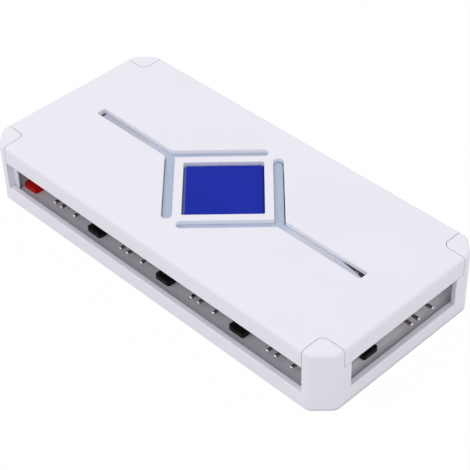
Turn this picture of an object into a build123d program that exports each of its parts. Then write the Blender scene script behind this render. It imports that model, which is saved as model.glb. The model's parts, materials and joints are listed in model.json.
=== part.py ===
"""PC fan controller hub: a white moulded case with fan and LED headers along its sides.

Millimetres, +X along the case, +Z up, origin at the middle of the underside.
"""

import os
from math import sqrt

from build123d import *

os.makedirs("parts", exist_ok=True)

# Case
case_length = 118.0
case_width = 55.0
case_height = 18.0
corner_chamfer = 4.6
corner_rounding = 2.6
top_rounding = 1.0
bottom_bevel = 0.3

# Base tray
floor_thickness = 1.5
sill_height = 4.6
sill_thickness = 1.9
sill_rounding = 0.4
sill_inner_rounding = 0.5
end_window_width = 36.7
end_wall = 1.2
post_wall = 1.9
lug_overhang = 1.55
lug_length = 3.4
lug_thickness = 1.2
lug_tip = 0.3
lug_taper = 1.4
rib_height = 1.1
rib_width = 1.6
rib_length = 18.0

# Top cover
cover_thickness = 1.6
skirt_depth = 5.2
skirt_thickness = 1.5
notch_size = 6.8
notch_rounding = 2.0
seam_gap = 0.15

# Clips: hooks under the cover that catch in the end walls, and blades that hold the board down
hook_length = 6.4
hook_thickness = 1.2
hook_width = 2.0
hook_inset = 7.9
barb_reach = 0.6
barb_height = 1.2
catch_clearance = 0.15
blade_inset = 23.0
blade_spacing = 13.0
blade_length = 5.0
blade_thickness = 1.4

# Slots in the cover: a diamond on its point, with an arm from each side corner
slot_half_diagonal = 19.4
slot_width = 2.65
bridge_gap = 2.6
arm_reach = 46.1
arm_width = 2.75
arm_rounding = 0.5

# Blue panel in the middle of the diamond
window_half_diagonal = 14.35
window_rounding = 0.5
panel_recess = 0.7
panel_bevel = 0.6
panel_clearance = 0.12
panel_flange_width = 1.1
panel_flange_thickness = 0.8

# Light diffuser under the slots
diffuser_recess = 1.2
diffuser_clearance = 0.06
diffuser_plate = 1.2
frame_clearance = 0.45
leg_relief = 0.2
arm_tip_relief = 1.35
arm_tip_taper = 8.0
arm_tip_shortfall = 0.9
ear_reach = 30.0
ear_length = 4.0
ear_width = 6.4

# Circuit board
board_thickness = 1.6
board_edge_gap = 0.1
board_clearance = 0.1
pin_hole_clearance = 0.13

# Header pins
pin_spacing = 2.54
pin_size = 0.64
pin_tip_bevel = 0.18
pin_tail = 0.8
pin_bend_setback = 1.3
row_places = 4
led_pin_places = (0, 1, 3)

# Four-pin fan header
fan_pin_height = 3.3
fan_pin_setback = 0.6
tab_reach = 7.5
fan_body_depth = 3.2
fan_body_height = 5.7
tab_middle = 2.1
tab_width = 4.85
tab_thickness = 1.3
tab_corner = 0.4
ridge_start = 1.4
ridge_length = 1.5
ridge_height = 0.5

# Three-pin LED header
led_pin_height = 1.5
led_pin_reach = 6.0
led_body_depth = 2.5
led_body_height = 2.8
led_body_groove = 0.6

# Header rows
pair_pitch = 25.4
led_offset = 12.35
row_margin = 2.1
row_inset = 3.25
end_fan_gap = 4.8
end_fan_inset = 3.4
end_led_gap = 1.45
end_led_inset = 2.15

# Power inlet on the left end
inlet_inset = 2.1
inlet_width = 24.0
inlet_depth = 5.6
inlet_height = 6.4
mouth_width = 21.8
mouth_height = 4.2
mouth_depth = 4.8
tongue_width = 20.4
tongue_thickness = 1.2
key_width = 1.4
key_height = 1.2
contact_count = 15
contact_pitch = 1.27
contact_width = 0.8
contact_thickness = 0.2
contact_length = 3.8
contact_setback = 0.6

# Parts on the board
part_clearance = 0.7
chip_length = 10.0
chip_width = 4.0
chip_height = 1.6
chip_lift = 0.15
lead_count = 8
lead_spacing = 1.27
lead_width = 0.42
lead_reach = 1.0
lead_height = 0.8
capacitor_diameter = 6.3
capacitor_height = 7.7
capacitor_base_height = 1.2
capacitor_x = 19.0
regulator_length = 6.5
regulator_width = 6.1
regulator_height = 2.3
regulator_tab_length = 1.2
regulator_tab_height = 0.5
transistor_length = 2.9
transistor_width = 1.3
transistor_height = 1.1
transistor_spacing = 4.0
resistor_length = 2.0
resistor_width = 1.25
resistor_height = 0.55
resistor_spacing = 3.0
resistor_count = 4
lamp_size = 5.0
lamp_height = 1.6
lamp_count = 3
lamp_spacing = 7.5
lamp_leg_x = 13.0

# Heights and half sizes that follow from the above
half_length = case_length / 2
half_width = case_width / 2
skirt_bottom = case_height - skirt_depth
plate_bottom = case_height - cover_thickness
post_size = notch_size - seam_gap
post_rounding = notch_rounding - seam_gap
board_bottom = floor_thickness + rib_height
board_top = board_bottom + board_thickness
hook_bottom = plate_bottom - hook_length
row_span = pin_spacing * (row_places - 1)
row_middle = row_span / 2
row_length = pin_spacing * row_places
window_side = window_half_diagonal * sqrt(2)
flange_side = window_side + 2 * panel_flange_width
lug_near_x = half_length - notch_size - lug_overhang
lug_near_y = half_width - post_wall - lug_thickness
lug_far_y = half_width - post_wall
hook_face = half_length - end_wall - seam_gap
hook_middle_y = half_width - hook_inset


def finish(piece, name):
    """Label a finished piece and write its file."""
    piece.part.label = name
    export_step(piece.part, f"parts/{name}.step")


def header_seat(side, along, inset):
    """Plane on the board under a header's first pin, at its outer end: x along the row, y inwards, z up."""
    outward, row = {
        "front": (Vector(0, -1, 0), Vector(1, 0, 0)),
        "right": (Vector(1, 0, 0), Vector(0, 1, 0)),
        "back": (Vector(0, 1, 0), Vector(-1, 0, 0)),
        "left": (Vector(-1, 0, 0), Vector(0, -1, 0)),
    }[side]
    reach = half_width if side in ("front", "back") else half_length
    origin = outward * (reach - inset) + row * along + Vector(0, 0, board_top)
    return Plane(origin=origin, x_dir=row, z_dir=(0, 0, 1))


def upright_plane(seat, along):
    """Upright plane across a row, at a distance from its first pin: x inwards, y up."""
    origin = seat.from_local_coords((along, 0, 0))
    return Plane(origin=origin, x_dir=seat.y_dir, z_dir=seat.x_dir)


# Where each header stands: the back row lies across from the front row
window_half_length = half_length - notch_size
row_start = row_margin - window_half_length
fan_leg = tab_reach + fan_body_depth + pin_bend_setback
led_leg = led_pin_reach + led_body_depth + pin_bend_setback
led_leg_y = half_width - row_inset - led_leg
pair_count = int((2 * window_half_length - row_margin) // pair_pitch)
fan_seats = {}
led_seats = {}
for pair in range(pair_count):
    fan_along = row_start + pair * pair_pitch
    led_along = fan_along + led_offset
    fan_seats[f"front_{pair + 1}"] = header_seat("front", fan_along, row_inset)
    led_seats[f"front_{pair + 1}"] = header_seat("front", led_along, row_inset)
    fan_seats[f"back_{pair + 1}"] = header_seat("back", -fan_along - row_span, row_inset)
    led_seats[f"back_{pair + 1}"] = header_seat("back", -led_along - row_span, row_inset)
fan_seats["right"] = header_seat("right", end_fan_gap - led_leg_y, end_fan_inset)
led_seats["right"] = header_seat("right", led_leg_y - end_led_gap - row_span, end_led_inset)

# The room between the rows' legs that the other parts on the board have
core_half_length = half_length - end_fan_inset - fan_leg - pin_size / 2 - part_clearance
core_half_width = half_width - row_inset - fan_leg - pin_size / 2 - part_clearance


def corner_rectangles(x_near, x_far, y_near, y_far, mode=Mode.ADD):
    """Draw the same rectangle in all four corners of the case."""
    with GridLocations(x_near + x_far, y_near + y_far, 2, 2):
        Rectangle(x_far - x_near, y_far - y_near, mode=mode)


def slot_legs(shrink, outer_relief=0):
    """Draw the diamond's four legs, each side drawn in by shrink and the outer side by its relief."""
    end_x = (bridge_gap + slot_width) / 2
    leg_length = (slot_half_diagonal - end_x) * sqrt(2)
    shift = outer_relief / (2 * sqrt(2))
    middle_x = (slot_half_diagonal + end_x) / 2 - shift
    middle_y = (slot_half_diagonal - end_x) / 2 - shift
    width = slot_width - 2 * shrink - outer_relief
    for sign_x in (-1, 1):
        for sign_y in (-1, 1):
            with Locations((sign_x * middle_x, sign_y * middle_y)):
                SlotCenterToCenter(leg_length, width, rotation=-45 * sign_x * sign_y)


with BuildSketch() as case_outline:
    Rectangle(case_length, case_width)
    chamfer(case_outline.vertices(), corner_chamfer)
    fillet(case_outline.vertices(), corner_rounding)

# Base tray: floor, sills, hollow corner posts up to the top face with lugs that carry the cover,
# end walls that catch its hooks, and ribs under the board
with BuildPart() as base_tray:
    with BuildSketch():
        add(case_outline.sketch)
    extrude(amount=sill_height)
    fillet(base_tray.faces().sort_by(Axis.Z)[-1].edges(), sill_rounding)
    with BuildSketch(Plane.XY.offset(floor_thickness)):
        add(case_outline.sketch)
        offset(amount=-sill_thickness)
    extrude(amount=sill_height - floor_thickness, mode=Mode.SUBTRACT)
    fillet(base_tray.faces().sort_by(Axis.Z)[-1].inner_wires()[0].edges(), sill_inner_rounding)
    with BuildSketch():
        with GridLocations(case_length, case_width, 2, 2):
            RectangleRounded(2 * post_size, 2 * post_size, post_rounding)
        add(case_outline.sketch, mode=Mode.INTERSECT)
    extrude(amount=case_height)
    with BuildSketch(Plane.XY.offset(floor_thickness)):
        add(case_outline.sketch)
        offset(amount=-post_wall)
        corner_rectangles(
            half_length - post_size, half_length, half_width - post_size, half_width, mode=Mode.INTERSECT
        )
    extrude(amount=plate_bottom - floor_thickness, mode=Mode.SUBTRACT)
    with BuildSketch():
        corner_rectangles(half_length - end_wall, half_length, end_window_width / 2, half_width - post_wall)
        add(case_outline.sketch, mode=Mode.INTERSECT)
    extrude(amount=skirt_bottom - seam_gap)
    with BuildSketch():
        with BuildLine():
            Polyline(
                (lug_near_x, lug_far_y),
                (lug_near_x + lug_length, lug_far_y),
                (lug_near_x + lug_length, lug_near_y),
                (lug_near_x + lug_taper, lug_near_y),
                (lug_near_x, lug_far_y - lug_tip),
                close=True,
            )
        make_face()
        mirror(about=Plane.XZ)
        mirror(about=Plane.YZ)
    extrude(amount=plate_bottom)
    rim_distance = half_length + half_width - post_size
    post_rim = base_tray.edges().group_by(Axis.Z)[-1].filter_by(
        lambda edge: abs(edge.center().X) + abs(edge.center().Y) > rim_distance
    )
    fillet(post_rim, top_rounding)
    chamfer(base_tray.edges().group_by(Axis.Z)[0], bottom_bevel)
    with BuildSketch():
        with GridLocations(2 * (half_length - blade_inset), case_width, 2, 1):
            Rectangle(rib_width, rib_length)
    extrude(amount=board_bottom)
    with BuildSketch(Plane.XY.offset(hook_bottom - catch_clearance)):
        corner_rectangles(
            half_length - end_wall,
            hook_face + barb_reach + catch_clearance,
            hook_middle_y - hook_width / 2 - catch_clearance,
            hook_middle_y + hook_width / 2 + catch_clearance,
        )
    extrude(amount=barb_height + 2 * catch_clearance, mode=Mode.SUBTRACT)
finish(base_tray, "base_tray")

# Top cover: plate and skirts, notched round the posts, with slots, window, blades and hooks
with BuildPart() as top_cover:
    with BuildSketch(Plane.XY.offset(skirt_bottom)):
        Rectangle(case_length, case_width)
    extrude(amount=skirt_depth)
    fillet(top_cover.faces().sort_by(Axis.Z)[-1].edges(), top_rounding)
    with BuildSketch(Plane.XY.offset(skirt_bottom)):
        Rectangle(case_length - 2 * skirt_thickness, case_width - 2 * skirt_thickness)
    extrude(amount=skirt_depth - cover_thickness, mode=Mode.SUBTRACT)
    with BuildSketch(Plane.XY.offset(skirt_bottom)):
        with GridLocations(case_length, case_width, 2, 2):
            RectangleRounded(2 * notch_size, 2 * notch_size, notch_rounding)
    extrude(amount=skirt_depth, mode=Mode.SUBTRACT)
    with BuildSketch(Plane.XY.offset(plate_bottom)):
        slot_legs(0)
        with GridLocations(slot_half_diagonal + arm_reach, 1, 2, 1):
            RectangleRounded(arm_reach - slot_half_diagonal, arm_width, arm_rounding)
    extrude(amount=cover_thickness, mode=Mode.SUBTRACT)
    with BuildSketch(Plane.XY.offset(plate_bottom)) as window:
        Rectangle(window_side, window_side, rotation=45)
        fillet(window.vertices(), window_rounding)
    extrude(amount=cover_thickness, mode=Mode.SUBTRACT)
    with BuildSketch(Plane.XY.offset(board_top)):
        with GridLocations(2 * (half_length - blade_inset), blade_spacing, 2, 2):
            Rectangle(blade_length, blade_thickness)
            Rectangle(blade_thickness, blade_length)
    extrude(amount=plate_bottom - board_top)
    with BuildSketch(Plane.XY.offset(hook_bottom)):
        corner_rectangles(
            hook_face - hook_thickness,
            hook_face,
            hook_middle_y - hook_width / 2,
            hook_middle_y + hook_width / 2,
        )
    extrude(amount=hook_length)
    for sign in (-1, 1):
        for middle_y in (-hook_middle_y, hook_middle_y):
            with BuildSketch(Plane.XZ.offset(-middle_y)):
                with BuildLine():
                    Polyline(
                        (sign * hook_face, hook_bottom),
                        (sign * hook_face, hook_bottom + barb_height),
                        (sign * (hook_face + barb_reach), hook_bottom + barb_height),
                        close=True,
                    )
                make_face()
            extrude(amount=hook_width / 2, both=True)
finish(top_cover, "top_cover")

# Blue panel: a bevelled block in the window, its corners cut to clear the window's rounded ones,
# on a flange that lies under the cover
with BuildPart() as blue_panel:
    with BuildSketch(Plane.XY.offset(plate_bottom)) as panel_face:
        panel_side = window_side - 2 * panel_clearance
        Rectangle(panel_side, panel_side, rotation=45)
        chamfer(panel_face.vertices(), window_rounding)
    extrude(amount=cover_thickness - panel_recess)
    chamfer(blue_panel.faces().sort_by(Axis.Z)[-1].edges(), panel_bevel)
    with BuildSketch(Plane.XY.offset(plate_bottom)):
        Rectangle(flange_side, flange_side, rotation=45)
    extrude(amount=-panel_flange_thickness)
finish(blue_panel, "blue_panel")

# Light diffuser: a diamond frame and two bars under the cover, with ribs that fill the slots
with BuildPart() as light_diffuser:
    slot_outer_side = slot_half_diagonal * sqrt(2) + slot_width - 2 * diffuser_clearance
    frame_inner_side = flange_side + 2 * frame_clearance
    diffuser_bottom = plate_bottom - diffuser_plate
    rib_top = case_height - diffuser_recess
    bar_end = arm_reach - diffuser_clearance
    bar_half_width = arm_width / 2 - diffuser_clearance
    with BuildSketch(Plane.XY.offset(diffuser_bottom)):
        Rectangle(slot_outer_side, slot_outer_side, rotation=45)
        Rectangle(frame_inner_side, frame_inner_side, rotation=45, mode=Mode.SUBTRACT)
        with GridLocations(2 * ear_reach, 1, 2, 1):
            Rectangle(ear_length, ear_width)
    extrude(amount=diffuser_plate)
    with BuildSketch(Plane.XY.offset(diffuser_bottom)):
        with BuildLine():
            Polyline(
                (slot_half_diagonal, -bar_half_width),
                (bar_end, -bar_half_width),
                (bar_end, bar_half_width - arm_tip_relief),
                (bar_end - arm_tip_taper, bar_half_width),
                (slot_half_diagonal, bar_half_width),
                close=True,
            )
        make_face()
        with Locations((-(slot_half_diagonal + bar_end - arm_tip_shortfall) / 2, 0)):
            Rectangle(bar_end - arm_tip_shortfall - slot_half_diagonal, 2 * bar_half_width)
    extrude(amount=rib_top - diffuser_bottom)
    with BuildSketch(Plane.XY.offset(plate_bottom)):
        slot_legs(diffuser_clearance, leg_relief)
    extrude(amount=rib_top - plate_bottom)
finish(light_diffuser, "light_diffuser")

# Circuit board, cut out round the lugs, with a hole for each pin
with BuildPart() as circuit_board:
    with BuildSketch(Plane.XY.offset(board_bottom)) as board_outline:
        margin = 2 * (sill_thickness + board_edge_gap)
        Rectangle(case_length - margin, case_width - margin)
        chamfer(board_outline.vertices(), corner_chamfer)
        corner_rectangles(
            lug_near_x - board_clearance,
            half_length,
            lug_near_y - board_clearance,
            half_width,
            mode=Mode.SUBTRACT,
        )
        pin_hole = pin_size + 2 * pin_hole_clearance
        for seat in fan_seats.values():
            legs = [seat.from_local_coords((place * pin_spacing, fan_leg, 0)) for place in range(row_places)]
            with Locations(*[(leg.X, leg.Y) for leg in legs]):
                Rectangle(pin_hole, pin_hole, mode=Mode.SUBTRACT)
        for seat in led_seats.values():
            legs = [seat.from_local_coords((place * pin_spacing, led_leg, 0)) for place in led_pin_places]
            with Locations(*[(leg.X, leg.Y) for leg in legs]):
                Rectangle(pin_hole, pin_hole, mode=Mode.SUBTRACT)
    extrude(amount=board_thickness)
finish(circuit_board, "circuit_board")


def pin_outline(start, leg, height):
    """Corners of one right-angle pin, from its tip inwards to its leg and down under the board."""
    half = pin_size / 2
    tail_end = -board_thickness - pin_tail
    tip = [(start, height - half + pin_tip_bevel), (start, height + half - pin_tip_bevel)]
    upper = [(start + pin_tip_bevel, height + half), (leg, height + half), (leg + half, height)]
    tail = [(leg + half, tail_end), (leg - half, tail_end)]
    lower = [(leg - half, height - half), (start + pin_tip_bevel, height - half)]
    return tip + upper + tail + lower


def pin_row(name, seat, places, start, leg, height):
    """Make the pins of one header."""
    with BuildPart() as pins:
        for place in places:
            with BuildSketch(upright_plane(seat, place * pin_spacing)):
                with BuildLine():
                    Polyline(*pin_outline(start, leg, height), close=True)
                make_face()
            extrude(amount=pin_size / 2, both=True)
    finish(pins, name)


def front_plane(seat, start, height):
    """Upright plane on the front face of a header's block, level with its pins, facing outwards."""
    origin = seat.from_local_coords((0, start, height))
    return Plane(origin=origin, x_dir=seat.x_dir, z_dir=-seat.y_dir)


def pin_squares(places):
    """Draw a row of pin-sized squares."""
    with Locations(*[(place * pin_spacing, 0) for place in places]):
        Rectangle(pin_size, pin_size)


def fan_header(name, seat):
    """Make a fan header: a block on the board and a ridged locking plate below the pins."""
    with BuildPart() as header:
        with BuildSketch(seat):
            with Locations((row_middle, tab_reach + fan_body_depth / 2)):
                Rectangle(row_length, fan_body_depth)
        extrude(amount=fan_body_height)
        with BuildSketch(seat) as plate:
            with Locations((tab_middle, tab_reach / 2)):
                Rectangle(tab_width, tab_reach)
            chamfer(plate.vertices().sort_by(Axis.Y)[:2], tab_corner)
        extrude(amount=tab_thickness)
        with BuildSketch(upright_plane(seat, tab_middle)):
            with BuildLine():
                Polyline(
                    (ridge_start, tab_thickness),
                    (ridge_start + ridge_length, tab_thickness + ridge_height),
                    (ridge_start + ridge_length + ridge_height, tab_thickness),
                    close=True,
                )
            make_face()
        extrude(amount=tab_width / 2, both=True)
        with BuildSketch(front_plane(seat, tab_reach, fan_pin_height)):
            pin_squares(range(row_places))
        extrude(amount=-fan_body_depth, mode=Mode.SUBTRACT)
    finish(header, name)


def led_header(name, seat):
    """Make an LED header: a low block, grooved between its places."""
    with BuildPart() as header:
        with BuildSketch(seat):
            with Locations((row_middle, led_pin_reach + led_body_depth / 2)):
                Rectangle(row_length, led_body_depth)
                with GridLocations(pin_spacing, led_body_depth, row_places + 1, 2):
                    Rectangle(led_body_groove, led_body_groove, rotation=45, mode=Mode.SUBTRACT)
        extrude(amount=led_body_height)
        with BuildSketch(front_plane(seat, led_pin_reach, led_pin_height)):
            pin_squares(led_pin_places)
        extrude(amount=-led_body_depth, mode=Mode.SUBTRACT)
    finish(header, name)


for place_name, seat in fan_seats.items():
    fan_header(f"fan_header_{place_name}", seat)
    pin_row(f"fan_pins_{place_name}", seat, range(row_places), fan_pin_setback, fan_leg, fan_pin_height)
for place_name, seat in led_seats.items():
    led_header(f"led_header_{place_name}", seat)
    pin_row(f"led_pins_{place_name}", seat, led_pin_places, 0, led_leg, led_pin_height)

# Power inlet: a block with a keyed tongue in its mouth, and the tongue's contacts
inlet_seat = header_seat("left", 0, inlet_inset)
mouth = front_plane(inlet_seat, 0, inlet_height / 2)
with BuildPart() as power_inlet:
    with BuildSketch(inlet_seat):
        with Locations((0, inlet_depth / 2)):
            Rectangle(inlet_width, inlet_depth)
    extrude(amount=inlet_height)
    with BuildSketch(mouth):
        Rectangle(mouth_width, mouth_height)
        Rectangle(tongue_width, tongue_thickness, mode=Mode.SUBTRACT)
        with Locations(((key_width - tongue_width) / 2, -(tongue_thickness + key_height) / 2)):
            Rectangle(key_width, key_height, mode=Mode.SUBTRACT)
    extrude(amount=-mouth_depth, mode=Mode.SUBTRACT)
finish(power_inlet, "power_inlet")

with BuildPart() as inlet_contacts:
    with BuildSketch(mouth.offset(-contact_setback)):
        with Locations((0, (tongue_thickness + contact_thickness) / 2)):
            with GridLocations(contact_pitch, 1, contact_count, 1):
                Rectangle(contact_width, contact_thickness)
    extrude(amount=-contact_length)
finish(inlet_contacts, "inlet_contacts")

# Resistors along the front of the core
with BuildPart() as resistors:
    with BuildSketch(Plane.XY.offset(board_top)):
        with Locations((0, resistor_width / 2 - core_half_width)):
            with GridLocations(resistor_spacing, resistor_width, resistor_count, 1):
                Rectangle(resistor_length, resistor_width)
    extrude(amount=resistor_height)
finish(resistors, "resistors")

# Controller chip behind the resistors, and its two rows of leads
chip_y = resistor_width + part_clearance + lead_reach + chip_width / 2 - core_half_width
with BuildPart() as controller_chip:
    with BuildSketch(Plane.XY.offset(board_top + chip_lift)):
        with Locations((0, chip_y)):
            Rectangle(chip_length, chip_width)
    extrude(amount=chip_height)
finish(controller_chip, "controller_chip")

with BuildPart() as chip_leads:
    with BuildSketch(Plane.XY.offset(board_top)):
        with Locations((0, chip_y)):
            with GridLocations(lead_spacing, chip_width + lead_reach, lead_count, 2):
                Rectangle(lead_width, lead_reach)
    extrude(amount=lead_height)
finish(chip_leads, "chip_leads")

# Capacitors: a can on a square base, one on each side of the middle
capacitor_y = core_half_width - capacitor_diameter / 2
with BuildPart() as capacitors:
    with BuildSketch(Plane.XY.offset(board_top)):
        with Locations((capacitor_x, capacitor_y), (-capacitor_x, -capacitor_y)):
            Rectangle(capacitor_diameter, capacitor_diameter)
    extrude(amount=capacitor_base_height)
    with BuildSketch(Plane.XY.offset(board_top)):
        with Locations((capacitor_x, capacitor_y), (-capacitor_x, -capacitor_y)):
            Circle(capacitor_diameter / 2)
    extrude(amount=capacitor_height)
finish(capacitors, "capacitors")

# Voltage regulator along the back of the core, with its flat cooling tab
regulator_y = core_half_width - regulator_width / 2
with BuildPart() as voltage_regulator:
    with BuildSketch(Plane.XY.offset(board_top)):
        with Locations((0, regulator_y)):
            Rectangle(regulator_length, regulator_width)
    extrude(amount=regulator_tab_height)
    with BuildSketch(Plane.XY.offset(board_top)):
        with Locations((0, regulator_y - regulator_tab_length / 2)):
            Rectangle(regulator_length, regulator_width - regulator_tab_length)
    extrude(amount=regulator_height)
finish(voltage_regulator, "voltage_regulator")

# Driver transistors, a pair across from each capacitor
transistor_y = core_half_width - transistor_width / 2
with BuildPart() as driver_transistors:
    with BuildSketch(Plane.XY.offset(board_top)):
        with Locations((capacitor_x, -transistor_y), (-capacitor_x, transistor_y)):
            with GridLocations(transistor_spacing, transistor_width, 2, 1):
                Rectangle(transistor_length, transistor_width)
    extrude(amount=transistor_height)
finish(driver_transistors, "driver_transistors")

# Lamps under the slots: a row under each arm and one under each leg of the diamond
lamp_row_middle = core_half_length - lamp_size / 2 - lamp_spacing * (lamp_count - 1) / 2
with BuildPart() as lamps:
    with BuildSketch(Plane.XY.offset(board_top)):
        with Locations((-lamp_row_middle, 0), (lamp_row_middle, 0)):
            with GridLocations(lamp_spacing, lamp_size, lamp_count, 1):
                Rectangle(lamp_size, lamp_size)
        with GridLocations(2 * lamp_leg_x, 2 * (slot_half_diagonal - lamp_leg_x), 2, 2):
            Rectangle(lamp_size, lamp_size)
    extrude(amount=lamp_height)
finish(lamps, "lamps")
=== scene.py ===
"""Looks of a PC fan hub: white moulded case, pale light bars, blue panel, headers and pins.

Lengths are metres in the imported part's frame: +X along the case, -Y to the front, +Z up.
"""

import json
import math
from typing import NamedTuple

import bpy
from bpy.props import FloatProperty, FloatVectorProperty, PointerProperty
from mathutils import Matrix, Vector


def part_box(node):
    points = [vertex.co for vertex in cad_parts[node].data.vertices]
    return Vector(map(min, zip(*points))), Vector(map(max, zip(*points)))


bl_info = {
    "name": "Fan hub looks",
    "version": (1, 0, 0),
    "blender": (4, 5, 0),
    "location": "View3D > Sidebar > Fan hub",
    "description": "Finishes and studio of a PC fan hub",
    "category": "Object",
}

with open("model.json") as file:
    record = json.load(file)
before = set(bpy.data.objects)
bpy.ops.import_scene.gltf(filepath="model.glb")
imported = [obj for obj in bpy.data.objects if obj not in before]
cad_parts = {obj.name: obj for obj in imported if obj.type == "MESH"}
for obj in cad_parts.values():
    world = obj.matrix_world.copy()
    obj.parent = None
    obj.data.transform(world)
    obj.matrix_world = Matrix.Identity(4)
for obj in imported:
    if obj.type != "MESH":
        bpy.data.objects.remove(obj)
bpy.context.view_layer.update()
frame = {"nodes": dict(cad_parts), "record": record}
cover_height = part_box("top_cover")[1].z
bars_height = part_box("light_diffuser")[1].z
board_low, board_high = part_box("circuit_board")
slot_of = {part["node"]: part["material_slot"] for part in frame["record"]["subparts"]}

WHITE = (1.0, 1.0, 1.0, 1.0)


# Feel of each finish

class Finish(NamedTuple):
    """Grain, gloss and drift of one finish: sizes in metres, the rest in shares."""

    grain: float  # size of the fine grain
    drift_size: float  # size of the slow patches in the colour
    drift: float  # how far the colour drifts from patch to patch
    roughness: float
    spread: float  # how far the grain swings the roughness
    relief: float = 0.0  # how strongly the grain stands out
    depth: float = 0.0  # height of that relief, nothing for a smooth finish
    sheen: float = 0.5  # how strongly the surface mirrors when seen straight on
    metallic: float = 0.0


CASE = Finish(
    grain=0.00022, drift_size=0.02, drift=0.02, roughness=0.46, spread=0.12,
    relief=0.35, depth=0.000004, sheen=0.4,
)
LIGHT_BAR = Finish(
    grain=0.00015, drift_size=0.003, drift=0.03, roughness=0.5, spread=0.15,
    relief=0.3, depth=0.000004, sheen=0.3,
)
BLUE_PANEL = Finish(
    grain=0.0004, drift_size=0.015, drift=0.06, roughness=0.12, spread=0.05, sheen=0.06,
)
BLACK_HEADER = Finish(
    grain=0.00012, drift_size=0.002, drift=0.12, roughness=0.42, spread=0.2,
    relief=0.3, depth=0.000005, sheen=0.2,
)
RED_HEADER = BLACK_HEADER._replace(sheen=0.1)
BOARD = Finish(
    grain=0.0003, drift_size=0.01, drift=0.04, roughness=0.38, spread=0.1,
    relief=0.3, depth=0.00002,
)
BOARD_PART = Finish(grain=0.0001, drift_size=0.001, drift=0.1, roughness=0.5, spread=0.2)
PIN = Finish(
    grain=0.00025, drift_size=0.002, drift=0.1, roughness=0.2, spread=0.15,
    relief=0.2, depth=0.000004, metallic=1.0,
)
CAN = PIN._replace(roughness=0.35)


# Settings

def colour(name, description, default):
    """A colour property in linear red, green and blue."""
    return FloatVectorProperty(
        name=name, description=description, default=default, subtype="COLOR", size=3, min=0.0, max=1.0
    )


def length(name, description, default):
    """A length property in metres."""
    return FloatProperty(name=name, description=description, default=default, unit="LENGTH", precision=5)


def share(name, description, default):
    """A property between nothing and all."""
    return FloatProperty(
        name=name, description=description, default=default, subtype="FACTOR", min=0.0, max=1.0
    )


def angle(name, description, degrees):
    """An angle property, given here in degrees."""
    return FloatProperty(
        name=name, description=description, default=math.radians(degrees), subtype="ANGLE"
    )


def point(name, description, default):
    """A place in the frame, in metres."""
    return FloatVectorProperty(
        name=name, description=description, default=default, subtype="TRANSLATION", unit="LENGTH",
        precision=5,
    )


class CaseLook(bpy.types.PropertyGroup):
    """Colours of the tray and the cover, and where each of them lies."""

    white: colour("White", "Colour of the case plastic", (0.82, 0.805, 0.885))
    # Painted light: the glow of the light bars on the slots' walls, painted into their colour
    slot_wall_painted_glow: colour("Slot wall", "Colour of the slots' walls, lit by the light bars", (0.89, 0.89, 0.96))
    cover_top: length("Cover top", "Height of the cover's top face", cover_height)
    cover_thickness: length("Cover thickness", "Thickness of the cover's plate", 0.0016)
    wall_share: share("Wall share", "How much of the plate's thickness counts as a slot's wall", 0.98)
    slots_length: length("Slots length", "Length of the area that the slots lie in", 0.1)
    slots_width: length("Slots width", "Width of the area that the slots lie in", 0.05)
    # Painted shade: a darker line along the foot of the ends, strongest on faces turned along the length
    foot: colour("Foot", "Colour of the line along the foot of the ends", (0.60, 0.59, 0.63))
    foot_height: length("Foot height", "Height of the line along the foot", 0.0011)
    edge_radius: length("Edge radius", "Radius of the softened edges", 0.0002)


class LightBarLook(bpy.types.PropertyGroup):
    """Colours of the frosted bars with their painted light, and of the painted shade in the gaps beside
    them, and where each of them lies.
    """

    # Painted light: the arms are painted lighter near the middle and darker towards their ends, for the
    # light that comes through them
    pale: colour("Pale", "Colour of the arms where they are lightest", (0.63, 0.665, 0.76))
    dim: colour("Dim", "Colour of the arms where they are darkest", (0.46, 0.475, 0.555))
    # Painted light: blue bounce from the panel painted into the diamond's legs
    painted_blue_bounce: colour("Blue cast", "Colour of the diamond's legs", (0.455, 0.525, 0.66))
    leg_reach: length("Leg reach", "From the middle to where the legs' colour ends", 0.01935)
    leg_fade: length("Leg fade", "From there to where the arms' colour is full", 0.00315)
    lightest_at: length("Lightest at", "Where along the hub the arms are lightest", 0.007)
    pale_reach: length("Pale reach", "How far the lightest part reaches", 0.01)
    dim_reach: length("Dim reach", "From the lightest place to the darkest", 0.05)
    cloud: length("Cloud", "Size of the cloudy patches", 0.006)
    cloud_swing: share("Cloud swing", "How far the cloudy patches shift the dimming", 0.5)
    # Painted shade: near black painted down beside the right half's bars, on the bars' sides and the slots'
    # walls, for the shade deep in the gaps
    gap: colour("Gap", "Colour down beside the bars, in the right half's slots", (0.004, 0.004, 0.005))
    bar_top: length("Bar top", "Height of the bars' top faces", bars_height)
    # Painted shade: depths where the painted shade down the bars' sides begins and is full, and below which
    # the slots' walls are painted dark
    gap_start: length("Gap start", "From the top faces down to where the bars' sides darken", 0.00005)
    gap_end: length("Gap end", "From the top faces down to where the bars' sides are darkest", 0.0002)
    wall_gap: length("Wall gap", "From the top faces down to where the slots' walls are dark", 0.000032)


class PanelLook(bpy.types.PropertyGroup):
    """Colours of the blue panel and of its rim's painted shade and painted highlight."""

    blue: colour("Blue", "Colour of the tinted plastic", (0.007, 0.022, 0.366))
    # Painted shade on the bevelled rim, with a painted highlight on the side turned to the front left
    shade: colour("Shade", "Colour of the panel's bevelled rim", (0.03, 0.045, 0.26))
    lit: colour("Lit", "Colour of the rim on the side that catches the light", (0.13, 0.17, 0.42))
    lit_side: FloatVectorProperty(
        name="Lit side", description="The way that the lit side of the rim faces", subtype="DIRECTION",
        default=(-0.707, -0.707, 0.0),
    )
    lit_from: share("Lit from", "How squarely a face has to face the lit side to be lit", 0.4)
    rim: length("Rim", "Width of the rim", 0.0004)
    rim_gain: FloatProperty(
        name="Rim gain", description="How sharply the rim's colour sets in", default=3.0, min=0.0
    )


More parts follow.
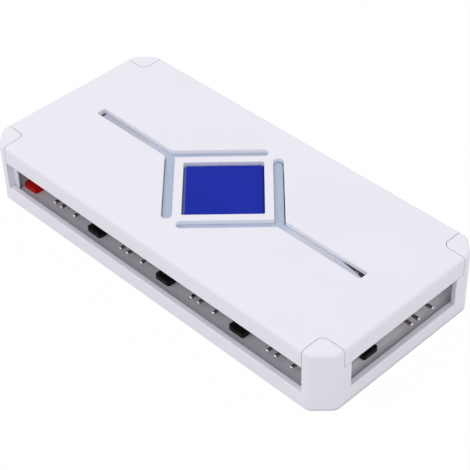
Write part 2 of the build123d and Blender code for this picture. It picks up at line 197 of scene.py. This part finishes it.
class HeaderLook(bpy.types.PropertyGroup):
    """Colours of the header blocks, the locking plates and the power inlet."""

    black: colour("Black", "Colour of the black headers", (0.0055, 0.0055, 0.006))
    red: colour("Red", "Colour of the first fan header", (0.54, 0.005, 0.007))
    edge_radius: length("Edge radius", "Radius of the blocks' softened edges", 0.00012)


class BoardLook(bpy.types.PropertyGroup):
    """Colours of the circuit board, the pins and the parts on the board, and where each of them lies."""

    mask: colour("Mask", "Colour of the solder mask", (0.76, 0.73, 0.79))
    trace: colour("Trace", "Colour of the mask over copper", (0.79, 0.76, 0.815))
    # Painted shade: the board's rim darkened where the sill shades it
    rim: colour("Rim", "Colour of the mask along the board's rim", (0.41, 0.385, 0.44))
    side_rim: length("Side rim", "From the long edges to where the rim fades out", 0.003)
    end_rim: length("End rim", "From the short edges to where the rim fades out", 0.002)
    # Painted shade: near black on the board between the rows of headers, where the inside lies in shade
    core: colour("Core", "Colour of the mask between the rows of headers", (0.10, 0.095, 0.105))
    core_start: length("Core start", "From the board's edge to where the core begins", 0.0125)
    core_fade: length("Core fade", "From there to where the core's colour is full", 0.003)
    board_length: length("Board length", "Length of the board", board_high[0] - board_low[0])
    board_width: length("Board width", "Width of the board", board_high[1] - board_low[1])
    trace_length: length("Trace length", "Length of a copper track", 0.012)
    trace_pitch: length("Trace pitch", "From one copper track to the next", 0.0013)
    trace_gap: length("Trace gap", "Bare strip between two copper tracks", 0.00025)
    trace_blur: share("Trace blur", "How softly the tracks' edges show through the mask", 0.3)
    # Painted light: the board's right end painted paler, for the light that reaches it there
    painted_light_end: colour("Pale end", "Colour of the solder mask at the right end", (0.98, 0.945, 0.99))
    end_start: length("End start", "Where along the board the right end begins", 0.0505)
    end_fade: length("End fade", "From there to where the right end is palest", 0.003)
    # Painted shade: plating painted dark, for the dark inside that the pins mirror
    metal: colour("Metal", "Colour of plated pins and leads", (0.25, 0.235, 0.215))
    # Painted highlight: the pins' tips painted bright, for the light that they catch
    tip_painted_highlight: colour("Tip", "Colour of the pins' cut tips", (0.92, 0.90, 0.86))
    side_tips: length("Side tips", "From the middle to where the side pins' tips begin", 0.0239)
    end_tips: length("End tips", "From the middle to where the right end's pins' tips begin", 0.0565)
    can: colour("Can", "Colour of the capacitor cans", (0.70, 0.71, 0.72))
    epoxy: colour("Epoxy", "Colour of moulded chips", (0.018, 0.018, 0.020))
    lamp: colour("Lamp", "Colour of the lamp housings", (0.80, 0.80, 0.74))


class StudioLook(bpy.types.PropertyGroup):
    """Camera, light and floor."""

    azimuth: angle("Azimuth", "Turn of the camera round the hub", 46.278)
    elevation: angle("Elevation", "Height of the camera above the floor", 41.194)
    roll: angle("Roll", "Turn of the camera about its own axis", -1.594)
    distance: length("Distance", "From the camera to the point it looks at", 0.366574)
    target: point("Target", "Point that the camera looks at", (0.006377, -0.002618, 0.008))
    lens: FloatProperty(
        name="Lens", description="Focal length in millimetres", default=113.45, unit="CAMERA"
    )
    sky: FloatProperty(name="Sky", description="Strength of the even light all round", default=0.89)
    key: FloatProperty(name="Key", description="Power of the key lamp in watts", default=1.2, unit="POWER")
    key_place: point("Key place", "Where the key lamp hangs", (-0.20, -0.35, 0.80))
    key_aim: point("Key aim", "Point that the key lamp looks at", (0.0, 0.0, 0.01))
    key_size: length("Key size", "Side of the square key lamp", 0.6)
    floor: colour("Floor", "Colour of the floor as it lights the hub", (0.78, 0.78, 0.79))
    floor_white: share("Floor white", "How much of the floor's shade is washed out", 0.985)
    floor_half: length("Floor half", "Half the side of the square floor", 1.5)
    floor_drop: length("Floor drop", "From the hub's underside down to the floor", 0.00005)


class HubLook(bpy.types.PropertyGroup):
    """All settings of the hub's looks."""

    case: PointerProperty(type=CaseLook)
    light_bar: PointerProperty(type=LightBarLook)
    panel: PointerProperty(type=PanelLook)
    header: PointerProperty(type=HeaderLook)
    board: PointerProperty(type=BoardLook)
    studio: PointerProperty(type=StudioLook)


# Node helpers

def add(tree, kind, inputs=None, **settings):
    """Add a shader node, set its settings and connect its inputs."""
    node = tree.nodes.new("ShaderNode" + kind)
    for name, value in settings.items():
        setattr(node, name, value)
    connect(tree, node, inputs or {})
    return node


def connect(tree, node, inputs):
    """Link each input that is given a socket, and set each that is given a value."""
    for socket, value in inputs.items():
        if isinstance(value, bpy.types.NodeSocket):
            tree.links.new(value, node.inputs[socket])
        else:
            node.inputs[socket].default_value = value


def calc(tree, operation, *values):
    """The result of one Math node."""
    return add(tree, "Math", dict(enumerate(values)), operation=operation).outputs[0]


def all_of(tree, mask, *others):
    """The product of masks: one only where each of them is one."""
    for other in others:
        mask = calc(tree, "MULTIPLY", mask, other)
    return mask


def ramp(tree, value, start, end):
    """A mask that rises evenly from nothing at one value to one at another."""
    return add(tree, "MapRange", {"Value": value, "From Min": start, "From Max": end}).outputs[0]


def ink(tint):
    """A socket as it is, or a linear colour with full alpha."""
    if isinstance(tint, bpy.types.NodeSocket):
        return tint
    return (*tint, 1.0)


def blend(tree, factor, first, second):
    """A colour between two colours."""
    # The Mix node repeats its socket names for each kind of data: 6, 7 and out 2 are the colours
    node = add(tree, "Mix", {0: factor, 6: ink(first), 7: ink(second)}, data_type="RGBA")
    return node.outputs[2]


def facing_along(tree, first, second):
    """How squarely two directions agree, by their dot product."""
    return add(tree, "VectorMath", {0: first, 1: second}, operation="DOT_PRODUCT").outputs["Value"]


def surface_normal(tree):
    """The way that the surface faces."""
    return add(tree, "NewGeometry").outputs["Normal"]


def place_in_hub(tree):
    """The shaded point's place in the hub's frame."""
    return add(tree, "TexCoord").outputs["Object"]


def axes(tree, vector):
    """The X, Y and Z of a vector, by name."""
    return add(tree, "SeparateXYZ", {0: vector}).outputs


def pattern_at(tree, size):
    """The shaded point's place, counted in pattern sizes."""
    per_metre = calc(tree, "DIVIDE", 1.0, size)
    scaled = add(tree, "VectorMath", {0: place_in_hub(tree), "Scale": per_metre}, operation="SCALE")
    return scaled.outputs["Vector"]


def noise_about_zero(tree, size, detail):
    """Soft random patches of one size, between minus a half and a half."""
    texture = add(tree, "TexNoise", {"Vector": pattern_at(tree, size), "Scale": 1.0, "Detail": detail})
    return calc(tree, "SUBTRACT", texture.outputs[0], 0.5)


def new_group(name, inputs, outputs):
    """An empty shader node group with named sockets; returns its tree and its two end nodes."""
    tree = bpy.data.node_groups.new(name, "ShaderNodeTree")
    for socket, kind in inputs.items():
        tree.interface.new_socket(socket, in_out="INPUT", socket_type="NodeSocket" + kind)
    for socket, kind in outputs.items():
        tree.interface.new_socket(socket, in_out="OUTPUT", socket_type="NodeSocket" + kind)
    return tree, tree.nodes.new("NodeGroupInput"), tree.nodes.new("NodeGroupOutput")


def place(tree, group, inputs):
    """Put a node group into a material with its own values."""
    node = tree.nodes.new("ShaderNodeGroup")
    node.node_tree = group
    connect(tree, node, inputs)
    return node.outputs


def new_material(name):
    """An empty material with a Principled shader; returns the material, its tree and the shader."""
    material = bpy.data.materials.new(name)
    material.use_nodes = True
    tree = material.node_tree
    tree.nodes.clear()
    shader = add(tree, "BsdfPrincipled")
    add(tree, "OutputMaterial", {"Surface": shader.outputs[0]})
    return material, tree, shader


# Shared effects

def moulded_grain():
    """Fine even grain of a mould, with a slow drift of the colour over the piece.

    The colour's brightness is 1 + 2 x drift x slow noise, and the roughness is the given one plus
    spread x fine noise, both noises lying between minus a half and a half.
    """
    if "Moulded grain" in bpy.data.node_groups:
        return bpy.data.node_groups["Moulded grain"]
    tree, start, end = new_group(
        "Moulded grain",
        {"Colour": "Color", "Grain Size": "Float", "Drift Size": "Float", "Drift": "Float",
         "Roughness": "Float", "Roughness Spread": "Float"},
        {"Colour": "Color", "Roughness": "Float", "Height": "Float"},
    )
    given = start.outputs
    fine = noise_about_zero(tree, given["Grain Size"], detail=2.0)
    slow = noise_about_zero(tree, given["Drift Size"], detail=3.0)
    swing = calc(tree, "MULTIPLY", slow, given["Drift"])
    brightness = calc(tree, "ADD", calc(tree, "MULTIPLY", swing, 2.0), 1.0)
    tint = add(tree, "HueSaturation", {"Value": brightness, "Color": given["Colour"]})
    wander = calc(tree, "MULTIPLY", fine, given["Roughness Spread"])
    rough = calc(tree, "ADD", given["Roughness"], wander)
    connect(tree, end, {"Colour": tint.outputs[0], "Roughness": rough, "Height": fine})
    return tree


def soft_edge():
    """Normals that turn gently over each edge, and a mask of where they turn."""
    if "Soft edge" in bpy.data.node_groups:
        return bpy.data.node_groups["Soft edge"]
    tree, start, end = new_group("Soft edge", {"Radius": "Float"}, {"Normal": "Vector", "Edge": "Float"})
    turned = add(tree, "Bevel", {"Radius": start.outputs["Radius"]}, samples=6).outputs[0]
    edge = calc(tree, "SUBTRACT", 1.0, facing_along(tree, turned, surface_normal(tree)))
    connect(tree, end, {"Normal": turned, "Edge": edge})
    return tree


def dress(tree, shader, tint, finish, height=None, normal=None):
    """Give a shader its colour and one finish; the relief is the grain's unless a height is given."""
    grain = place(tree, moulded_grain(), {
        "Colour": ink(tint), "Grain Size": finish.grain, "Drift Size": finish.drift_size,
        "Drift": finish.drift, "Roughness": finish.roughness, "Roughness Spread": finish.spread,
    })
    connect(tree, shader, {
        "Base Color": grain["Colour"], "Roughness": grain["Roughness"],
        "Specular IOR Level": finish.sheen, "Metallic": finish.metallic,
    })
    if not finish.depth:
        return
    bump = add(tree, "Bump", {
        "Strength": finish.relief, "Distance": finish.depth,
        "Height": grain["Height"] if height is None else height,
    })
    if normal is not None:
        connect(tree, bump, {"Normal": normal})
    connect(tree, shader, {"Normal": bump.outputs[0]})


# Finishes

def slot_walls(tree, case, bars):
    """Two masks: the cover's walls in its slots and window, which get the bars' painted glow, and those
    down beside the right half's bars, which get painted shade.
    """
    spot = axes(tree, place_in_hub(tree))
    middle = case.cover_top - case.cover_thickness / 2
    reach = case.cover_thickness / 2 * case.wall_share
    in_plate = calc(tree, "COMPARE", spot["Z"], middle, reach)
    in_length = calc(tree, "LESS_THAN", calc(tree, "ABSOLUTE", spot["X"]), case.slots_length / 2)
    in_width = calc(tree, "LESS_THAN", calc(tree, "ABSOLUTE", spot["Y"]), case.slots_width / 2)
    walls = all_of(tree, in_plate, in_length, in_width)
    below = calc(tree, "LESS_THAN", spot["Z"], bars.bar_top - bars.wall_gap)
    on_right = calc(tree, "GREATER_THAN", spot["X"], 0.0)
    return walls, all_of(tree, walls, below, on_right)


def painted_foot_shade(tree, case):
    """Mask of painted shade: one along the foot of the ends, fading to nothing upwards and round to the
    long sides.
    """
    spot = axes(tree, place_in_hub(tree))
    faces = axes(tree, surface_normal(tree))
    low = ramp(tree, spot["Z"], case.foot_height, case.foot_height / 2)
    return all_of(tree, low, calc(tree, "ABSOLUTE", faces["X"]))


def case_plastic(case, bars):
    """White moulded plastic: satin, finely grained, with softened edges, the light bars' glow painted on
    the slot walls, and painted shade down beside the right half's bars and along the foot of the ends.
    """
    material, tree, shader = new_material("case_white")
    walls, gap_painted_shade_mask = slot_walls(tree, case, bars)
    # Painted shade along the foot of the ends
    plain = blend(tree, painted_foot_shade(tree, case), case.white, case.foot)
    # Painted light: the bars' glow painted onto the slots' walls
    tinted = blend(tree, walls, plain, case.slot_wall_painted_glow)
    # Painted shade: the dark gap colour painted down the right half's slot walls
    white = blend(tree, gap_painted_shade_mask, tinted, bars.gap)
    edge = place(tree, soft_edge(), {"Radius": case.edge_radius})
    dress(tree, shader, white, CASE, normal=edge["Normal"])
    return material


def frosted_plastic(bars):
    """Frosted bars: milky plastic with painted light that fades along the arms, a painted blue bounce from
    the panel in the diamond, and painted shade down the right half's sides.
    """
    material, tree, shader = new_material("diffuser_pale")
    spot = axes(tree, place_in_hub(tree))
    # Painted light: fades along the arms away from the lightest place
    away = calc(tree, "ABSOLUTE", calc(tree, "SUBTRACT", spot["X"], bars.lightest_at))
    dimming = ramp(tree, away, bars.pale_reach, bars.dim_reach)
    swing = calc(tree, "MULTIPLY", noise_about_zero(tree, bars.cloud, detail=2.0), bars.cloud_swing)
    arm = blend(tree, calc(tree, "ADD", dimming, swing), bars.pale, bars.dim)
    # Painted light: the panel's blue bounce painted on the legs, fading into the arms
    out = calc(tree, "ABSOLUTE", spot["X"])
    past_legs = ramp(tree, out, bars.leg_reach, bars.leg_reach + bars.leg_fade)
    milk = blend(tree, past_legs, bars.painted_blue_bounce, arm)
    # Painted shade: the bars' sides below their top faces, in the right half, are painted dark
    down = ramp(tree, calc(tree, "SUBTRACT", bars.bar_top, spot["Z"]), bars.gap_start, bars.gap_end)
    on_right = calc(tree, "GREATER_THAN", spot["X"], 0.0)
    dress(tree, shader, blend(tree, all_of(tree, down, on_right), milk, bars.gap), LIGHT_BAR)
    return material


def tinted_plastic(panel):
    """Blue panel: polished tinted plastic with painted shade on its rim, and a painted highlight on the
    rim's side that catches the light.
    """
    material, tree, shader = new_material("panel_blue")
    edge = place(tree, soft_edge(), {"Radius": panel.rim})
    # Painted shade on the rim, and a painted highlight where it faces the lit side
    rim = calc(tree, "MINIMUM", calc(tree, "MULTIPLY", edge["Edge"], panel.rim_gain), 1.0)
    facing_light = facing_along(tree, surface_normal(tree), panel.lit_side)
    lit = calc(tree, "GREATER_THAN", facing_light, panel.lit_from)
    shaded = blend(tree, rim, panel.blue, panel.shade)
    dress(tree, shader, blend(tree, lit, shaded, panel.lit), BLUE_PANEL)
    return material


def header_plastic(name, tint, finish, edge_radius):
    """Header blocks: filled plastic with a fine speckle and a slight sheen."""
    material, tree, shader = new_material(name)
    edge = place(tree, soft_edge(), {"Radius": edge_radius})
    dress(tree, shader, tint, finish, normal=edge["Normal"])
    return material


def solder_mask(board):
    """Circuit board: pale mask with copper tracks under it, painted shade at the rim and between the
    headers, and painted light at the right end.
    """
    material, tree, shader = new_material("board_pale")
    tracks = add(tree, "TexBrick", {
        "Vector": pattern_at(tree, board.trace_pitch), "Scale": 1.0, "Row Height": 1.0,
        "Brick Width": board.trace_length / board.trace_pitch,
        "Mortar Size": board.trace_gap / board.trace_pitch,
        "Mortar Smooth": board.trace_blur,
    })
    copper = calc(tree, "SUBTRACT", 1.0, tracks.outputs["Fac"])
    spot = axes(tree, place_in_hub(tree))
    from_end = calc(tree, "SUBTRACT", board.board_length / 2, calc(tree, "ABSOLUTE", spot["X"]))
    from_side = calc(tree, "SUBTRACT", board.board_width / 2, calc(tree, "ABSOLUTE", spot["Y"]))
    # Painted shade along the rim, fading inwards
    past_end_rim = calc(tree, "DIVIDE", from_end, board.end_rim)
    past_side_rim = calc(tree, "DIVIDE", from_side, board.side_rim)
    past_rim = calc(tree, "MINIMUM", past_end_rim, past_side_rim)
    # Painted shade between the rows of headers
    inwards = calc(tree, "MINIMUM", from_end, from_side)
    core_painted_shade = ramp(tree, inwards, board.core_start, board.core_start + board.core_fade)
    # Painted light at the board's right end
    right_end_painted_light = ramp(tree, spot["X"], board.end_start, board.end_start + board.end_fade)
    plain = blend(tree, copper, board.mask, board.trace)
    middle = blend(tree, right_end_painted_light, plain, board.painted_light_end)
    outer = blend(tree, past_rim, board.rim, middle)
    dress(tree, shader, blend(tree, core_painted_shade, outer, board.core), BOARD, height=copper)
    return material


def pin_metal(board):
    """Pins, leads and contacts: dull plating darkened by painted shade, with a painted highlight at the
    pins' tips.
    """
    material, tree, shader = new_material("pin_metal")
    spot = axes(tree, place_in_hub(tree))
    # Painted highlight on the pins' tips, painted shade on the rest
    at_side = calc(tree, "GREATER_THAN", calc(tree, "ABSOLUTE", spot["Y"]), board.side_tips)
    at_end = calc(tree, "GREATER_THAN", spot["X"], board.end_tips)
    tips = calc(tree, "MAXIMUM", at_side, at_end)
    dress(tree, shader, blend(tree, tips, board.metal, board.tip_painted_highlight), PIN)
    return material


def board_part(name, tint, finish):
    """A part on the board: one colour, with the speckle of its finish."""
    material, tree, shader = new_material(name)
    dress(tree, shader, tint, finish)
    return material


def finish_slot(slot, material):
    """Give every node of one material slot its finish."""
    nodes = [node for node, used in slot_of.items() if used == slot]
    if not nodes:
        raise RuntimeError(f"no node has the slot {slot}")
    for node in nodes:
        mesh = frame["nodes"][node].data
        mesh.materials.clear()
        mesh.materials.append(material)


# Stage

def link(name, data):
    """A new object in the scene."""
    thing = bpy.data.objects.new(name, data)
    bpy.context.scene.collection.objects.link(thing)
    return thing


def make_camera(studio):
    """Camera at the given angles, turned about its own axis by the roll."""
    across = math.cos(studio.elevation)
    back = Vector((
        math.sin(studio.azimuth) * across, -math.cos(studio.azimuth) * across, math.sin(studio.elevation),
    ))
    right = Vector((math.cos(studio.azimuth), math.sin(studio.azimuth), 0.0))
    up = back.cross(right)
    side = right * math.cos(studio.roll) + up * math.sin(studio.roll)
    top = up * math.cos(studio.roll) - right * math.sin(studio.roll)
    data = bpy.data.cameras.new("camera")
    data.lens = studio.lens
    camera = link("camera", data)
    turn = Matrix((side, top, back)).transposed().to_4x4()
    camera.matrix_world = Matrix.Translation(Vector(studio.target) + back * studio.distance) @ turn
    bpy.context.scene.camera = camera


def seen_directly(tree):
    """One for rays from the camera and for mirrored and refracted ones, so that gloss shows the white."""
    rays = add(tree, "LightPath").outputs
    mirrored = calc(tree, "MAXIMUM", rays["Is Glossy Ray"], rays["Is Transmission Ray"])
    return calc(tree, "MAXIMUM", rays["Is Camera Ray"], mirrored)


def make_world(studio):
    """Even light all round, and plain white where it is seen."""
    world = bpy.data.worlds.new("studio")
    world.use_nodes = True
    tree = world.node_tree
    tree.nodes.clear()
    white_part = calc(tree, "MULTIPLY", seen_directly(tree), 1.0 - studio.sky)
    strength = calc(tree, "ADD", white_part, studio.sky)
    light = add(tree, "Background", {"Color": WHITE, "Strength": strength})
    add(tree, "OutputWorld", {"Surface": light.outputs[0]})
    bpy.context.scene.world = world


def make_floor(studio):
    """Pale floor that keeps a soft shadow and reads as white from the camera."""
    half, level = studio.floor_half, -studio.floor_drop
    mesh = bpy.data.meshes.new("floor")
    corners = [(-half, -half, level), (half, -half, level), (half, half, level), (-half, half, level)]
    mesh.from_pydata(corners, [], [(0, 1, 2, 3)])
    material = bpy.data.materials.new("floor")
    material.use_nodes = True
    tree = material.node_tree
    tree.nodes.clear()
    matt = add(tree, "BsdfDiffuse", {"Color": ink(studio.floor)})
    white = add(tree, "Emission", {"Color": WHITE, "Strength": 1.0})
    washed = calc(tree, "MULTIPLY", seen_directly(tree), studio.floor_white)
    surface = add(tree, "MixShader", {0: washed, 1: matt.outputs[0], 2: white.outputs[0]})
    add(tree, "OutputMaterial", {"Surface": surface.outputs[0]})
    mesh.materials.append(material)
    floor = link("floor", mesh)


def make_key_lamp(studio):
    """One square soft lamp that looks at the hub."""
    data = bpy.data.lights.new("key_lamp", "AREA")
    data.size = studio.key_size
    data.energy = studio.key
    lamp = link("key_lamp", data)
    place_at = Vector(studio.key_place)
    turn = (Vector(studio.key_aim) - place_at).to_track_quat("-Z", "Y").to_matrix().to_4x4()
    lamp.matrix_world = Matrix.Translation(place_at) @ turn


# Operators

class FANHUB_OT_case(bpy.types.Operator):
    """Finish the tray and the cover in white moulded plastic"""

    bl_idname = "fan_hub.case"
    bl_label = "Case"

    def execute(self, context):
        hub = context.scene.fan_hub
        finish_slot("case_white", case_plastic(hub.case, hub.light_bar))
        return {"FINISHED"}


class FANHUB_OT_light_bars(bpy.types.Operator):
    """Finish the light bars in frosted plastic"""

    bl_idname = "fan_hub.light_bars"
    bl_label = "Light bars"

    def execute(self, context):
        finish_slot("diffuser_pale", frosted_plastic(context.scene.fan_hub.light_bar))
        return {"FINISHED"}


class FANHUB_OT_panel(bpy.types.Operator):
    """Finish the blue panel"""

    bl_idname = "fan_hub.blue_panel"
    bl_label = "Blue panel"

    def execute(self, context):
        finish_slot("panel_blue", tinted_plastic(context.scene.fan_hub.panel))
        return {"FINISHED"}


class FANHUB_OT_headers(bpy.types.Operator):
    """Finish the black headers, the red one and the power inlet"""

    bl_idname = "fan_hub.headers"
    bl_label = "Headers"

    def execute(self, context):
        header = context.scene.fan_hub.header
        black = header_plastic("header_black", header.black, BLACK_HEADER, header.edge_radius)
        red = header_plastic("header_red", header.red, RED_HEADER, header.edge_radius)
        finish_slot("header_black", black)
        finish_slot("header_red", red)
        return {"FINISHED"}


class FANHUB_OT_board(bpy.types.Operator):
    """Finish the circuit board, the pins and the parts on the board"""

    bl_idname = "fan_hub.board"
    bl_label = "Board"

    def execute(self, context):
        board = context.scene.fan_hub.board
        finish_slot("board_pale", solder_mask(board))
        finish_slot("pin_metal", pin_metal(board))
        finish_slot("capacitor_can", board_part("capacitor_can", board.can, CAN))
        finish_slot("chip_black", board_part("chip_black", board.epoxy, BOARD_PART))
        finish_slot("resistor_dark", board_part("resistor_dark", board.epoxy, BOARD_PART))
        finish_slot("lamp_white", board_part("lamp_white", board.lamp, BOARD_PART))
        return {"FINISHED"}


class FANHUB_OT_stage(bpy.types.Operator):
    """Make the camera, the light and the floor"""

    bl_idname = "fan_hub.stage"
    bl_label = "Stage"

    def execute(self, context):
        studio = context.scene.fan_hub.studio
        make_camera(studio)
        make_world(studio)
        make_floor(studio)
        make_key_lamp(studio)
        context.scene.view_settings.view_transform = "Standard"
        return {"FINISHED"}


# Each step by the name of its settings on the hub
STEPS = {
    "case": FANHUB_OT_case,
    "light_bar": FANHUB_OT_light_bars,
    "panel": FANHUB_OT_panel,
    "header": FANHUB_OT_headers,
    "board": FANHUB_OT_board,
    "studio": FANHUB_OT_stage,
}


class FANHUB_PT_looks(bpy.types.Panel):
    """The steps that dress the hub, each with its settings"""

    bl_label = "Fan hub"
    bl_idname = "FANHUB_PT_looks"
    bl_space_type = "VIEW_3D"
    bl_region_type = "UI"
    bl_category = "Fan hub"

    def draw(self, context):
        for name, step in STEPS.items():
            box = self.layout.box()
            box.operator(step.bl_idname)
            look = getattr(context.scene.fan_hub, name)
            for setting in type(look).__annotations__:
                box.prop(look, setting)


CLASSES = (
    CaseLook, LightBarLook, PanelLook, HeaderLook, BoardLook, StudioLook, HubLook,
    *STEPS.values(), FANHUB_PT_looks,
)


def register():
    """Register the classes and hang the settings on the scene."""
    for kind in CLASSES:
        bpy.utils.register_class(kind)
    bpy.types.Scene.fan_hub = PointerProperty(type=HubLook)


def unregister():
    """Undo register."""
    del bpy.types.Scene.fan_hub
    for kind in reversed(CLASSES):
        bpy.utils.unregister_class(kind)


def main():
    """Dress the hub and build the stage."""
    register()
    bpy.ops.fan_hub.case()
    bpy.ops.fan_hub.light_bars()
    bpy.ops.fan_hub.blue_panel()
    bpy.ops.fan_hub.headers()
    bpy.ops.fan_hub.board()
    bpy.ops.fan_hub.stage()


if __name__ == "__main__":
    main()
